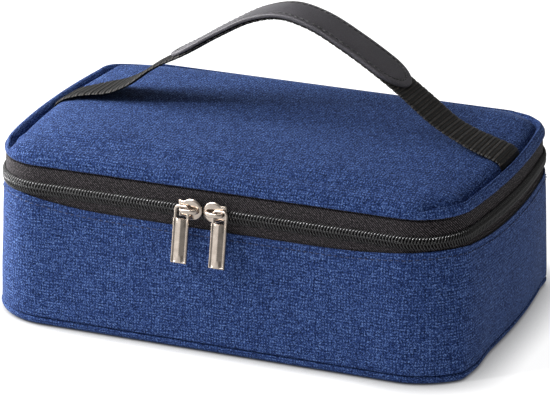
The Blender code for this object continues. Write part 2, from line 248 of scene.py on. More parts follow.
def section_lengths(offset, z):
    """Distance along each column of a section, for the UV's second coordinate."""
    steps = np.hypot(np.diff(offset, axis=0), np.diff(z, axis=0))
    return np.vstack([np.zeros((1, offset.shape[1])), np.cumsum(steps, 0)])


def wall_object(name, s, offset, z, look, closed):
    """A strip along the outline; offset and z are (rows, columns), columns match s."""
    points = on_track(s[None, :], offset, z)
    v = section_lengths(offset, z)
    if closed:
        s_uv = np.append(s, ROUND)
        v = np.hstack([v, v[:, :1]])
    else:
        s_uv = s
    uv = np.stack(np.broadcast_arrays(s_uv[None, :], v), -1)
    return grid_object(name, points, uv, look, closed)


def spline_rows(corners, count):
    """Smooth points through (rows, columns) key values, spread evenly over the key rows."""
    corners = np.asarray(corners, float)
    t = np.linspace(0, len(corners) - 1, count)
    i = np.minimum(t.astype(int), len(corners) - 2)
    before = corners[np.maximum(i - 1, 0)]
    after = corners[np.minimum(i + 2, len(corners) - 1)]
    a, b = corners[i], corners[i + 1]
    return hermite(a, b, (b - before) / 2, (after - a) / 2, (t - i)[:, None])


def keyed(keys, out=0.0, up=0.0):
    """Section keys from (offset, z) pairs in millimetres, measured from (out, up) in metres."""
    return [(out + offset * MM, up + z * MM) for offset, z in keys]


def section(s, keys, count=None):
    """Offsets and heights (rows, columns) through (offset, z) keys, splined to count rows if it is given."""
    both = [np.array([np.broadcast_to(key[part], s.shape) for key in keys]) for part in (0, 1)]
    return [spline_rows(rows, count) for rows in both] if count else both


def keyed_wall(name, s, keys, count, look, closed):
    """wall_object through a few (offset, z) keys, each a number or an array over the columns."""
    return wall_object(name, s, *section(s, keys, count), look, closed)


def unit(vectors):
    """The same directions, each with a length of 1."""
    return vectors / np.linalg.norm(vectors, axis=-1)[..., None]


def ring(sides, power=1.0):
    """Cosines and sines round a section, squarer for a power below 1."""
    turn = np.arange(sides) / sides * 2 * math.pi
    c, s = np.cos(turn), np.sin(turn)
    return np.sign(c) * np.abs(c) ** power, np.sign(s) * np.abs(s) ** power


def tube(path, radius, normal_hint):
    """Points (rings, sides, 3) of a round tube along path (rings, 3); radius may vary along it."""
    tangent = unit(np.gradient(path, axis=0))
    side = unit(np.cross(tangent, normal_hint))
    up = np.cross(side, tangent)
    c, s = ring(TUBE_SIDES)
    around = c[None, :, None] * side[:, None, :] + s[None, :, None] * up[:, None, :]
    return path[:, None, :] + around * np.broadcast_to(radius, len(path))[:, None, None]


def tube_faces(rings):
    """Side quads and two end caps of a tube whose points come ring by ring."""
    faces = [(a, d, c, b) for a, b, c, d in quads(rings, TUBE_SIDES, True)[0].tolist()]
    last = (rings - 1) * TUBE_SIDES
    return faces + [tuple(range(TUBE_SIDES)), tuple(reversed(range(last, last + TUBE_SIDES)))]


def copies_object(name, clouds, faces, look):
    """One object of many closed copies: clouds is (copies, points, 3), faces index one copy."""
    copies, count = clouds.shape[:2]
    mesh = bpy.data.meshes.new(name)
    every = [tuple(i + k * count for i in face) for k in range(copies) for face in faces]
    mesh.from_pydata(clouds.reshape(-1, 3).tolist(), [], every)
    return new_object(name, mesh, look)


# --- materials ---

class Nodes:
    """A node tree and short ways to fill it."""

    def __init__(self, tree):
        self.tree = tree

    def add(self, kind, settings=None, **inputs):
        node = self.tree.nodes.new(kind)
        for key, value in (settings or {}).items():
            setattr(node, key, value)
        for key, value in inputs.items():
            self.feed(node.inputs[key.replace("_", " ")], value)
        return node

    def feed(self, socket, value):
        if isinstance(value, bpy.types.NodeSocket):
            self.tree.links.new(value, socket)
        else:
            socket.default_value = value

    def math(self, operation, first, second=0.0, third=0.0):
        node = self.add("ShaderNodeMath", {"operation": operation})
        for socket, value in zip(node.inputs, (first, second, third)):
            self.feed(socket, value)
        return node.outputs[0]

    def mix(self, *parts):
        """The sum of (value, share) parts."""
        total = 0.0
        for value, share in parts:
            total = self.math("MULTIPLY_ADD", value, share, total)
        return total

    def span(self, value, start, end, lowest, highest):
        """Smoothly from lowest to highest as the value goes from start to end."""
        node = self.add("ShaderNodeMapRange", {"interpolation_type": "SMOOTHSTEP"}, Value=value,
                        From_Min=start, From_Max=end, To_Min=lowest, To_Max=highest)
        return node.outputs[0]


class Graph(Nodes):
    """A node material, built from its Principled shader backwards."""

    def __init__(self, name, roughness=0.8, metallic=0.0):
        self.material = bpy.data.materials.new(name)
        self.material.use_nodes = True
        super().__init__(self.material.node_tree)
        self.shader = self.tree.nodes["Principled BSDF"]
        self.shader.inputs["Roughness"].default_value = roughness
        self.shader.inputs["Metallic"].default_value = metallic

    def uv(self):
        """The two UV coordinates, in metres."""
        split = self.add("ShaderNodeSeparateXYZ", Vector=self.add("ShaderNodeUVMap").outputs[0])
        return split.outputs[0], split.outputs[1]

    def place(self):
        return self.add("ShaderNodeTexCoord").outputs["Object"]

    def vector(self, x, y, z=0.0):
        return self.add("ShaderNodeCombineXYZ", X=x, Y=y, Z=z).outputs[0]

    def noise(self, vector, scale, detail=2.0, roughness=0.55):
        node = self.add("ShaderNodeTexNoise", Vector=vector, Scale=scale, Detail=detail, Roughness=roughness)
        return node.outputs["Fac"]

    def cells(self, scale, feature="F1"):
        """Distances in a pattern of irregular cells."""
        node = self.add("ShaderNodeTexVoronoi", {"feature": feature}, Vector=self.place(), Scale=scale)
        return node.outputs["Distance"]

    def ramp(self, value, *stops):
        """A colour ramp; each stop is (position, (red, green, blue))."""
        node = self.add("ShaderNodeValToRGB", Fac=value)
        elements = node.color_ramp.elements
        while len(elements) < len(stops):
            elements.new(1.0)
        for element, (position, colour) in zip(elements, stops):
            element.position = position
            element.color = (*colour, 1.0)
        return node.outputs["Color"]

    def wave(self, value, pitch):
        """Ridges from 0 to 1 that repeat every pitch."""
        turn = self.math("MULTIPLY", value, 2 * math.pi / pitch)
        return self.math("MULTIPLY_ADD", self.math("SINE", turn), 0.5, 0.5)

    def colour(self, value):
        self.feed(self.shader.inputs["Base Color"], value)

    def rough(self, value, lowest, highest):
        spread = self.math("MULTIPLY_ADD", value, highest - lowest, lowest)
        self.feed(self.shader.inputs["Roughness"], spread)

    def bump(self, height, distance, strength=1.0):
        node = self.add("ShaderNodeBump", Height=height, Distance=distance, Strength=strength)
        self.feed(self.shader.inputs["Normal"], node.outputs[0])

    def sheen(self, weight, roughness, tint):
        self.shader.inputs["Sheen Weight"].default_value = weight
        self.shader.inputs["Sheen Roughness"].default_value = roughness
        self.shader.inputs["Sheen Tint"].default_value = (*tint, 1.0)

    def shine(self, level):
        self.shader.inputs["Specular IOR Level"].default_value = level


WEAVE_PITCH = 1.45 * MM
RIB_PITCH = 1.9 * MM
WHITE = (1.0, 1.0, 1.0, 1.0)


def heather_fabric():
    """Mixed blue yarns: a speckle of crossings, fine weft streaks and longer slubs along u."""
    graph = Graph("heather_fabric", roughness=0.9)
    u, v = graph.uv()
    cloth = graph.vector(u, v)
    column = graph.math("FLOOR", graph.math("DIVIDE", u, 0.33 * MM))
    row = graph.math("FLOOR", graph.math("DIVIDE", v, 0.44 * MM))
    speckle = graph.add("ShaderNodeTexWhiteNoise", Vector=graph.vector(column, row)).outputs["Value"]
    weft_run = graph.vector(graph.math("DIVIDE", u, 3.6 * MM), graph.math("MULTIPLY", row, 7.31))
    slub_run = graph.vector(graph.math("DIVIDE", u, 8.0 * MM), graph.math("DIVIDE", v, 0.7 * MM))
    drift = graph.math("MULTIPLY", graph.noise(cloth, 110.0, 1.0), 2.4 * MM)
    weave = graph.math("MULTIPLY", graph.wave(graph.math("ADD", u, drift), WEAVE_PITCH),
                       graph.wave(graph.math("ADD", v, drift), WEAVE_PITCH))
    tone = graph.mix((graph.noise(weft_run, 1.0, 1.0), 0.25), (speckle, 0.58),
                     (graph.noise(slub_run, 1.0, 1.0), 0.30), (graph.noise(cloth, 40.0), 0.06), (weave, 0.22))
    graph.colour(graph.ramp(tone, (0.36, (0.003, 0.008, 0.036)), (0.60, (0.0112, 0.027, 0.104)),
                            (0.79, (0.030, 0.063, 0.200)), (1.0, (0.125, 0.21, 0.46))))
    graph.bump(weave, 0.15 * MM, 0.5)
    graph.sheen(0.12, 0.3, (0.45, 0.62, 1.0))
    graph.shine(0.12)
    return graph.material


def thread(name, colour, roughness=0.6):
    """Twisted sewing thread."""
    graph = Graph(name, roughness=roughness)
    twist = graph.noise(graph.place(), 2500.0)
    dark = tuple(c * 0.45 for c in colour)
    graph.colour(graph.ramp(twist, (0.35, dark), (0.65, colour)))
    graph.bump(twist, 0.05 * MM)
    graph.sheen(0.2, 0.4, tuple(c / max(colour) for c in colour))
    return graph.material


def grey(level):
    return (level, level, level)


def woven(graph, weave, lint_scale, lint_share, stops, depth, strength):
    """Colour and relief of a woven tape: the ridges of its weave under fine lint."""
    lint = graph.noise(graph.vector(*graph.uv()), lint_scale, detail=3.0)
    graph.colour(graph.ramp(graph.mix((weave, 1 - lint_share), (lint, lint_share)), *stops))
    graph.bump(weave, depth, strength)
    return graph.material


def twill_tape():
    graph = Graph("twill_tape", roughness=0.7)
    u, v = graph.uv()
    diagonal = graph.wave(graph.math("ADD", u, v), 1.25 * MM)
    cross = graph.wave(graph.math("SUBTRACT", u, graph.math("MULTIPLY", v, 0.6)), 0.7 * MM)
    graph.shine(0.12)
    stops = ((0.38, grey(0.001)), (0.51, (0.012, 0.0105, 0.012)), (0.70, (0.17, 0.147, 0.160)))
    return woven(graph, graph.mix((cross, 0.25), (diagonal, 0.6)), 1100.0, 0.6, stops, 0.25 * MM, 0.9)


def nylon_coil():
    graph = Graph("nylon_coil")
    grime = graph.noise(graph.place(), 700.0)
    graph.colour(graph.ramp(grime, (0.3, grey(0.002)), (0.7, grey(0.005))))
    graph.rough(grime, 0.09, 0.16)
    graph.bump(grime, 0.02 * MM)
    graph.shine(1.0)
    return graph.material


def ribbed_webbing():
    graph = Graph("ribbed_webbing", roughness=0.58)
    u, v = graph.uv()
    herring = graph.wave(graph.math("ADD", u, graph.math("PINGPONG", v, 2.6 * MM)), 0.8 * MM)
    graph.shine(0.22)
    # the light brown top stop colours the rib crests: painted highlight where light catches the ribs, over
    # the strap's own black weave and lint
    stops = ((0.45, grey(0.001)), (0.62, (0.004, 0.0035, 0.0034)), (0.82, (0.12, 0.098, 0.080)))
    weave = graph.mix((graph.wave(u, RIB_PITCH), 0.8), (herring, 0.2))
    return woven(graph, weave, 1500.0, 0.55, stops, 0.40 * MM, 0.8)


def grained_leather():
    graph = Graph("grained_leather")
    grain = graph.math("MINIMUM", graph.math("MULTIPLY", graph.cells(1100.0, "DISTANCE_TO_EDGE"), 4.0), 1.0)
    wear = graph.noise(graph.place(), 60.0, detail=4.0)
    graph.colour(graph.ramp(graph.mix((wear, 0.65), (grain, 0.35)), (0.25, (0.026, 0.024, 0.029)),
                            (0.55, (0.056, 0.052, 0.061)), (0.8, (0.092, 0.086, 0.099))))
    graph.rough(wear, 0.35, 0.6)
    graph.bump(grain, 0.06 * MM, 0.5)
    graph.shine(0.5)
    return graph.material


def satin_nickel():
    graph = Graph("satin_nickel", metallic=1.0)
    spot = graph.place()
    brush = graph.add("ShaderNodeMapping", Vector=spot, Scale=(6000.0, 6000.0, 300.0))
    lines = graph.noise(brush.outputs[0], 1.0, detail=3.0)
    cloud = graph.noise(spot, 350.0)
    graph.colour(graph.ramp(cloud, (0.3, (0.43, 0.37, 0.32)), (0.7, (0.54, 0.47, 0.41))))
    graph.rough(graph.mix((cloud, 0.5), (lines, 0.5)), 0.12, 0.24)
    graph.bump(lines, 0.01 * MM, 0.4)
    return graph.material


def crinkled_foil():
    graph = Graph("crinkled_foil", metallic=0.9)
    folds = graph.math("MINIMUM", graph.cells(120.0, "DISTANCE_TO_EDGE"), 0.3)
    fine = graph.noise(graph.place(), 400.0, detail=4.0, roughness=0.65)
    graph.colour(graph.ramp(fine, (0.3, (0.36, 0.37, 0.39)), (0.7, (0.52, 0.53, 0.55))))
    graph.rough(fine, 0.28, 0.5)
    graph.bump(graph.math("MULTIPLY_ADD", fine, 0.6, folds), 0.6 * MM, 0.6)
    return graph.material


def foam():
    graph = Graph("closed_cell_foam", roughness=0.85)
    distance = graph.cells(1400.0)
    graph.colour(graph.ramp(distance, (0.0, (0.70, 0.71, 0.72)), (0.6, (0.86, 0.87, 0.88))))
    graph.bump(distance, 0.1 * MM, 0.5)
    return graph.material


def binding_tape():
    graph = Graph("binding_tape")
    graph.sheen(0.3, 0.4, grey(1.0))
    stops = ((0.3, grey(0.008)), (0.75, (0.040, 0.038, 0.037)))
    return woven(graph, graph.wave(graph.uv()[0], 0.8 * MM), 1000.0, 0.5, stops, 0.15 * MM, 0.7)


def pale_floor():
    """A bright glowing sweep with a painted contact shadow: its glow darkens by ambient occlusion close to
    the bag, over a longer reach on the bag's right. In reflections it shows a painted reflection, bright on
    the left and dim on the right.
    """
    graph = Graph("pale_floor", roughness=0.9)
    graph.colour((0.4, 0.4, 0.405, 1.0))
    graph.shine(0.0)
    mirrored = graph.add("ShaderNodeLightPath").outputs["Is Glossy Ray"]
    across = graph.add("ShaderNodeSeparateXYZ", Vector=graph.place()).outputs["X"]
    # painted contact shadow: ambient occlusion darkens the glow near the bag, reaching further on the bag's
    # right
    reach = graph.span(across, 0.06, 0.13, 9.5 * MM, 20 * MM)
    close = graph.add("ShaderNodeAmbientOcclusion", {"samples": 12}, Distance=reach).outputs["AO"]
    # painted reflection: glossy rays see the floor bright on the left and dim on the right
    painted_reflection_level = graph.span(across, -0.5, 0.35, 1.0, 0.12)
    level = graph.math("MULTIPLY_ADD", mirrored, graph.math("SUBTRACT", painted_reflection_level, 0.9), 0.9)
    glow = graph.math("MULTIPLY", graph.math("POWER", close, 1.7), level)
    graph.feed(graph.shader.inputs["Emission Color"], WHITE)
    graph.feed(graph.shader.inputs["Emission Strength"], glow)
    return graph.material


MATERIALS = {
    "blue_fabric": heather_fabric(),
    "blue_thread": thread("blue_thread", (0.006, 0.017, 0.075)),
    "black_tape": twill_tape(),
    "black_nylon": nylon_coil(),
    "black_thread": thread("black_thread", (0.012, 0.012, 0.012), 0.4),
    "black_webbing": ribbed_webbing(),
    "grey_leather": grained_leather(),
    "satin_nickel": satin_nickel(),
    "silver_lining": crinkled_foil(),
    "white_foam": foam(),
    "black_binding": binding_tape(),
    "pale_floor": pale_floor(),
}


# --- outer cloth ---

CLOTH = 0.25 * MM                       # one layer of the outer fabric
RING_COUNT = 568
RING = np.arange(RING_COUNT) * ROUND / RING_COUNT
HEM_RISE = (2.6 * MM, 5.0 * MM, 4.0 * MM, 1.4 * MM)    # at the back left corner, then anticlockwise
FRONT_LEFT = MID_CORNERS[1]


def hem_z(s):
    """Top edge of the body's fabric: it rises at the corners and sags between them."""
    rise = sum(height * near(s, corner, 30 * MM) for height, corner in zip(HEM_RISE, MID_CORNERS))
    return RIM_Z - 1.0 * MM + rise


def lid_edge_z(s):
    return LID_EDGE_Z - 0.1 * MM - 0.3 * MM * near(s, FRONT_LEFT, 20 * MM)


def zip_push(s):
    """The zip stands out a little at the front left corner and lies back along the short sides."""
    side = smooth(np.abs(outline_at(s)[1][..., 0]), 0.5, 0.95)
    return 0.5 * MM * near(s, FRONT_LEFT, 20 * MM) - 0.7 * MM * side


def lid_drop(s):
    """How far the lid's ridge and seam sink along the back, where the hinge holds them down."""
    back = smooth(outline_at(s)[1][..., 1], 0.35, 0.98)
    back_left = near(s, ZIP_START, 20 * MM)
    return 2.3 * MM * back + 1.0 * MM * back_left + 1.2 * MM * near(s, FRONT_LEFT, 18 * MM)


def lid_tuck(s):
    """How far, in millimetres, the lid's side band leans in along the short sides."""
    normal = outline_at(s)[1]
    return 1.9 * smooth(np.abs(normal[..., 0] * 0.92 + normal[..., 1] * 0.38), 0.75, 1.0)


def left_share(s):
    """1 along the left side and its back corner, falling to 0 at the front left corner."""
    normal = outline_at(s)[1]
    return smooth(-normal[..., 0], 0.6, 0.97) * smooth(normal[..., 1], -0.40, 0.0)


def body_offset(s, z):
    """How far the body's cloth stands out from the outline: it leans, bellies and ripples."""
    rise = (z - BASE_SEAM_Z) / (hem_z(s) - BASE_SEAM_Z)
    across = np.sin(math.pi * np.clip(rise, 0, 1))
    normal = outline_at(s)[1]
    bulge = 1.5 * np.abs(normal[..., 1]) + 0.3 * smooth(normal[..., 0], 0.5, 1.0) - 0.2
    offset = BASE_GROW * (1 - rise) + across ** 0.7 * bulge * MM
    points = on_track(s, offset, z)
    offset = offset + 0.5 * MM * ripple(points * (1, 1, 1.4), 32 * MM, 1.0) * across ** 0.5
    dent = near(s, FRONT_S + 38 * MM, 20 * MM) * np.exp(-((z - 42 * MM) / (15 * MM)) ** 2)
    near_seams = np.exp(-((1 - rise) / 0.12) ** 2) + np.exp(-(rise / 0.12) ** 2)
    return offset - 1.3 * MM * dent + 0.3 * MM * ripple(points * (1, 1, 0.3), 9 * MM, 2.0) * near_seams


def body_cloth():
    s = RING
    hem = hem_z(s)
    foot = BASE_SEAM_Z + 0.2 * MM
    z = foot + 0.9 * MM + (hem - 1.4 * MM - foot) * np.linspace(0, 1, 40)[:, None]
    under = keyed([(-2.5, -0.1), (-0.9, 0.0), (-0.1, 0.3)], BASE_GROW, foot)
    over = keyed([(0.1, -0.12), (-0.25, 0.0), (-0.55, -0.3), (-0.62, -5.0)], 0.0, hem)
    rows = zip(section(s, under), (body_offset(s, z), z), section(s, over))
    offset, z = (np.vstack(parts) for parts in rows)
    obj = wall_object("body_cloth", s, offset, z, "blue_fabric", closed=True)
    thicken(obj, CLOTH)
    return place(obj, "root", "blue_fabric", "body_side_band")


def coons(loop, m, n):
    """Grid (n + 1, m + 1, k) filling a loop of 2(m + n) points that starts at one of its corners."""
    bottom = loop[:m + 1]
    right = loop[m:m + n + 1]
    top = loop[m + n:2 * m + n + 1][::-1]
    left = np.vstack([loop[2 * m + n:], loop[:1]])[::-1]
    a = np.linspace(0, 1, m + 1)[None, :, None]
    b = np.linspace(0, 1, n + 1)[:, None, None]
    blend = (1 - b) * bottom[None] + b * top[None] + (1 - a) * left[:, None] + a * right[:, None]
    corners = ((1 - a) * (1 - b) * bottom[0] + a * (1 - b) * bottom[-1]
               + (1 - a) * b * top[0] + a * b * top[-1])
    return blend - corners


PANEL_M, PANEL_N = 132, 84


def panel_s():
    """Distances along the outline for the panels' edge points, from the front left corner's middle."""
    long_run = np.linspace(MID_CORNERS[1], MID_CORNERS[2], PANEL_M + 1)[:-1]
    right = np.linspace(MID_CORNERS[2], MID_CORNERS[3], PANEL_N + 1)[:-1]
    back = np.linspace(MID_CORNERS[3], MID_CORNERS[0] + ROUND, PANEL_M + 1)[:-1]
    left = np.linspace(MID_CORNERS[0] + ROUND, MID_CORNERS[1] + ROUND, PANEL_N + 1)[:-1]
    return np.concatenate([long_run, right, back, left])


def patch_share(m, n):
    """0 along the edge of a coons patch and 1 in its middle, for crowning it."""
    a = np.linspace(-1, 1, m + 1)[None, :]
    b = np.linspace(-1, 1, n + 1)[:, None]
    return (1 - a ** 2) * (1 - b ** 2)


def flat_crown(share):
    return 0 * share


def domed(share):
    """A crown that is steep near the edge and almost flat in the middle."""
    return 1 - (1 - share) ** 3


def panel_object(name, edge_offset, edge_z, crown, look, bumps=None, faces_down=False, uv_scale=(1, 1)):
    """A panel: rows of a rolled edge (rows, columns), then a patch that fills the inside.

    crown takes the patch's share from edge to middle and gives its rise above the patch's edge;
    uv_scale below 1 stretches the weave along X or Y.
    """
    s = panel_s()
    edge = on_track(s[None, :], edge_offset, edge_z)
    rows, columns = edge.shape[:2]
    patch = coons(edge[-1], PANEL_M, PANEL_N)
    patch[..., 2] += crown(patch_share(PANEL_M, PANEL_N))
    if bumps is not None:
        edge, patch = bumps(edge, True), bumps(patch, False)
    inner_index = np.full((PANEL_N + 1, PANEL_M + 1), -1)
    last = (rows - 1) * columns
    inner_index[0, :] = last + np.arange(PANEL_M + 1)
    inner_index[:, -1] = last + PANEL_M + np.arange(PANEL_N + 1)
    inner_index[-1, ::-1] = last + PANEL_M + PANEL_N + np.arange(PANEL_M + 1)
    inner_index[::-1, 0] = last + np.mod(2 * PANEL_M + PANEL_N + np.arange(PANEL_N + 1), columns)
    inside = patch[1:-1, 1:-1]
    inner_count = inside.shape[0] * inside.shape[1]
    inner_index[1:-1, 1:-1] = rows * columns + np.arange(inner_count).reshape(inside.shape[:2])
    points = np.vstack([edge.reshape(-1, 3), inside.reshape(-1, 3)])
    edge_faces = quads(rows, columns, True)[0]
    i = inner_index
    patch_faces = np.stack([i[:-1, :-1], i[:-1, 1:], i[1:, 1:], i[1:, :-1]], -1).reshape(-1, 4)
    faces = np.vstack([edge_faces, patch_faces])
    if faces_down:
        faces = faces[:, ::-1]
    unrolled = section_lengths(edge_offset, edge_z)
    unrolled = (unrolled[-1] - unrolled)[..., None] * outline_at(s)[1] + edge[-1, :, :2]
    flat = np.vstack([unrolled.reshape(-1, 2), inside[..., :2].reshape(-1, 2)]) * uv_scale
    return new_object(name, mesh_from(name, points, faces, flat[faces.ravel()]), look)


def mixed_keys(side_keys, front_keys, front):
    """Section keys that go from their side form to their front form, both in millimetres."""
    pairs = zip(side_keys, front_keys)
    return keyed([(a + (c - a) * front, b + (d - b) * front) for (a, b), (c, d) in pairs])


def lid_heights(s):
    """Lid edge, ridge and sunken seam, in millimetres."""
    drop = lid_drop(s)
    return lid_edge_z(s) / MM, (LID_RIDGE_Z + 0.1 * MM - drop) / MM, (LID_SEAM_Z - drop) / MM


def lid_band_cloth():
    """The lid's side band: a ridge with the seam behind it, which dies away along the front."""
    s = RING
    edge, ridge, seam = lid_heights(s)
    tall = ridge - edge
    left, tuck = left_share(s), lid_tuck(s)
    hem = [(-0.9, edge + 1.8), (-0.8, edge + 0.5), (-0.35 - 0.3 * tuck, edge),
           (0.1 - 0.4 * tuck, edge + 0.12), (0.42 - 0.5 * tuck, edge + 0.8)]
    side = hem + [(0.3 - 0.6 * tuck, edge + tall * 0.35), (0.0 - 0.75 * tuck, edge + tall * 0.65),
                  (-0.45 - 0.9 * tuck, edge + tall * 0.88), (-0.95 - tuck - 0.7 * left, ridge),
                  (-1.5 - tuck - 1.6 * left, ridge - 0.3),
                  (-2.1 - tuck - 2.2 * left, ridge - 1.1 - 0.4 * left),
                  (-2.8 - tuck - 2.4 * left, seam + 0.3 - 1.1 * left),
                  (-3.5 - tuck - 2.5 * left, seam - 0.4 - 1.6 * left)]
    front = hem + [(0.45, edge + 1.3), (0.42, edge + 1.7), (0.36, edge + 2.1), (0.26, edge + 2.5),
                   (0.13, edge + 2.9), (-0.05, edge + 3.3), (-0.3, edge + 3.7), (-0.6, edge + 4.1)]
    keys = mixed_keys(side, front, front_share(s))
    offsets, heights = section(s, keys, 49)
    offsets = tucked_under(offsets[::-1], -0.3 * MM)[::-1]
    heights = tucked_under(heights[::-1], -0.5 * MM)[::-1]
    obj = wall_object("lid_band_cloth", s, offsets, heights, "blue_fabric", closed=True)
    thicken(obj, CLOTH)
    return place(obj, "lid", "blue_fabric", "lid_side_band")


def press_under_strap(points):
    """Push the lid's cloth down to where the two ends of the strap lie on it."""
    x, y = points[..., 0], points[..., 1]
    across = np.clip(y - STRAP_Y, -STRAP_HALF, STRAP_HALF)
    beside = np.abs(y - STRAP_Y) - STRAP_HALF
    under = strap_z(x) - across * strap_roll(x) - WEBBING / 2 - 0.3 * MM
    limit = under + 1.2 * np.maximum(beside, 0.0)
    pressed = points.copy()
    lies = (np.abs(x) > 60 * MM) & (np.abs(x) < SEAM_X - 1 * MM)
    pressed[..., 2] = np.where(lies, np.minimum(points[..., 2], limit), points[..., 2])
    return pressed


def lid_top_keys(s):
    """Section keys of the top panel, from under the side band to its flat part."""
    edge, _, seam = lid_heights(s)
    drop = lid_drop(s) / MM
    left, tuck = left_share(s), lid_tuck(s)
    side = [(-3.5 - tuck - 2.5 * left, seam - 0.4 - 1.6 * left),
            (-3.9 - tuck - 2.6 * left, seam + 0.2 - 1.2 * left),
            (-4.3 - tuck - 2.6 * left, seam + 1.0 - 0.8 * left),
            (-5.2 - tuck - 2.4 * left, seam + 2.1 - 0.4 * left),
            (-6.8 - tuck - 1.8 * left, seam + 3.1 + drop * 0.1),
            (-8.8 - tuck - 0.8 * left, seam + 4.0 + drop * 0.25), (-12.0 - tuck, seam + 4.7 + drop * 0.4)]
    front = [(-0.6, edge + 4.1), (-1.0, edge + 4.55), (-1.7, edge + 5.05), (-2.9, edge + 5.6),
             (-5.0, edge + 6.3), (-8.0, edge + 6.9), (-12.0, edge + 7.4)]
    return mixed_keys(side, front, front_share(s))


def tucked_under(rows, sink):
    """Carry a cloth's first row on behind its neighbour: once along itself, then down by sink."""
    onward = 2 * rows[0] - rows[1] + 0.1 * sink
    return np.vstack([onward + sink, onward, rows])


def lid_top_cloth():
    s = panel_s()
    offsets, heights = (tucked_under(rows, -0.5 * MM) for rows in section(s, lid_top_keys(s), 25))
    rise = LID_TOP_Z + 1.0 * MM - heights[-1].mean()

    def bumps(points, at_edge):
        points = points.copy()
        fade = np.linspace(0, 1, len(points))[:, None] ** 2 if at_edge else 1.0
        points[..., 2] += 0.45 * MM * ripple(points * (1, 1, 0), 38 * MM, 3.0) * fade
        return press_under_strap(points)

    obj = panel_object("lid_top_cloth", offsets, heights, lambda share: rise * domed(share),
                       "blue_fabric", bumps, uv_scale=(1.0, 0.7))
    thicken(obj, CLOTH)
    place(obj, "lid", "blue_fabric", "lid_top_panel")
    return obj


def bottom_cloth():
    s = panel_s()
    rolled = [(-2.5, -0.1), (-0.9, -0.1), (0.1, -0.5), (0.3, -1.4), (-0.3, -2.8)]
    resting = [(-1.5, 0.5), (-3.5, 0.05), (-8.0, 0.0)]
    keys = keyed(rolled, BASE_GROW, BASE_SEAM_Z) + keyed(resting, BASE_GROW)
    offsets, heights = section(s, keys, 22)
    heights = np.maximum(heights, 0.0)
    obj = panel_object("bottom_cloth", offsets, heights, flat_crown, "blue_fabric", faces_down=True)
    thicken(obj, CLOTH)
    return place(obj, "root", "blue_fabric", "bottom_panel")


def hinge_cloth():
    reach = STRAIGHT_HALF + 5 * MM
    s = np.linspace(-reach, reach, 150)
    keys = keyed([(-1.2, -4.0), (-1.0, -0.5), (0.1, 1.2)], 0.0, hem_z(s))
    keys += keyed([(1.1, -3.0), (1.5, 0.0), (1.1, 3.5)], 0.0, CHAIN_Z)
    keys += keyed([(0.1, -1.2), (-1.0, 0.5), (-1.2, 3.0)], 0.0, lid_edge_z(s))
    obj = keyed_wall("hinge_cloth", s, keys, 45, "blue_fabric", closed=False)
    thicken(obj, CLOTH)
    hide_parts("body_hinge_strip", "lid_hinge_strip")
    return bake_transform(obj)


# --- zip ---

TAPE_REACH = 9 * MM                     # the tapes run on under the ends of the hinge cloth
TOOTH_PITCH = 1.5 * MM
WIRE = 0.33 * MM                        # radius of the coil's nylon wire
CHAIN_MIDDLE = CHAIN_Z - 1.0 * MM       # the chain sags below the line the sliders' plates keep


def zip_tape(part, body, side, hidden_z, edge_z):
    """From hidden_z behind the cloth, past the cloth's edge_z, to the chain.

    side is -1 for the body's half and +1 for the lid's, here and in the coil.
    """
    s = np.linspace(ZIP_START - TAPE_REACH, ZIP_END + TAPE_REACH, 470)
    edge = edge_z(s)
    groove = 1.0 if side > 0 else 0.2
    face = zip_push(s) - TAPE_SINK
    keys = [(-1.6 * MM, hidden_z)]
    keys += keyed([(-0.75 - groove, 0.0), (-0.7 - groove, -side * 1.2)], 0.0, edge)
    keys += keyed([(-0.2, -side * 2.0)], face, edge)
    keys += keyed([(0.0, side * 3.6), (-0.1, side * 0.35)], face, CHAIN_MIDDLE)
    if side > 0:
        keys = keys[::-1]
    obj = keyed_wall(part + "_tape_weave", s, keys, 26, "black_tape", closed=False)
    thicken(obj, 0.5 * MM)
    return place(obj, body, "black_tape", part + "_zip_tape")


def every_tooth(name, late, path, rings, radius, body, look, *nodes):
    """A small tube at every tooth of the chain; late moves the row on by half a pitch."""
    count = int((ZIP_END - ZIP_START) / TOOTH_PITCH)
    starts = ZIP_START + late * TOOTH_PITCH / 2 + np.arange(count) * TOOTH_PITCH
    local = tube(spline_rows(path, rings), radius, normal_hint=(1.0, 0.2, 0.0)).reshape(-1, 3)
    s = starts[:, None] + local[None, :, 0]
    clouds = on_track(s, local[None, :, 1] + zip_push(starts)[:, None], CHAIN_MIDDLE + local[None, :, 2])
    return place(copies_object(name, clouds, tube_faces(rings), look), body, "black_nylon", *nodes)


def coil(part, body, side):
    """Loops of (along, out, up) points, from the outer edge to the head and back."""
    head, outer = -0.55 * side, 2.9 * side
    path = np.array([(1.1, -0.3, outer), (0.95, 0.15, outer * 0.92), (0.75, 0.55, outer * 0.75),
                     (0.3, 0.75, outer * 0.4), (-0.05, 0.65, head * 0.2), (-0.3, 0.3, head),
                     (-0.3, -0.1, head * 1.3), (0.0, -0.3, outer * 0.3)]) * MM
    return every_tooth(part + "_coil_teeth", side > 0, path, 13, WIRE, body, "black_nylon",
                       part + "_zip_coil")


def coil_stitches(part, body, side):
    """Slanted sewing thread over every loop of the coil."""
    path = np.array([(0.9, -0.3, side * 3.4), (0.7, 0.2, side * 3.0), (0.4, 0.6, side * 2.5),
                     (0.1, 0.7, side * 2.0)]) * MM
    radius = np.array([0.6, 1, 1, 1, 1, 1, 0.6]) * 0.22 * MM
    return every_tooth(part + "_coil_stitches", side < 0, path, 7, radius, body, "black_thread")


# --- stitches ---

HEM_STITCH = 3 * MM                     # from one stitch of the hem to the next


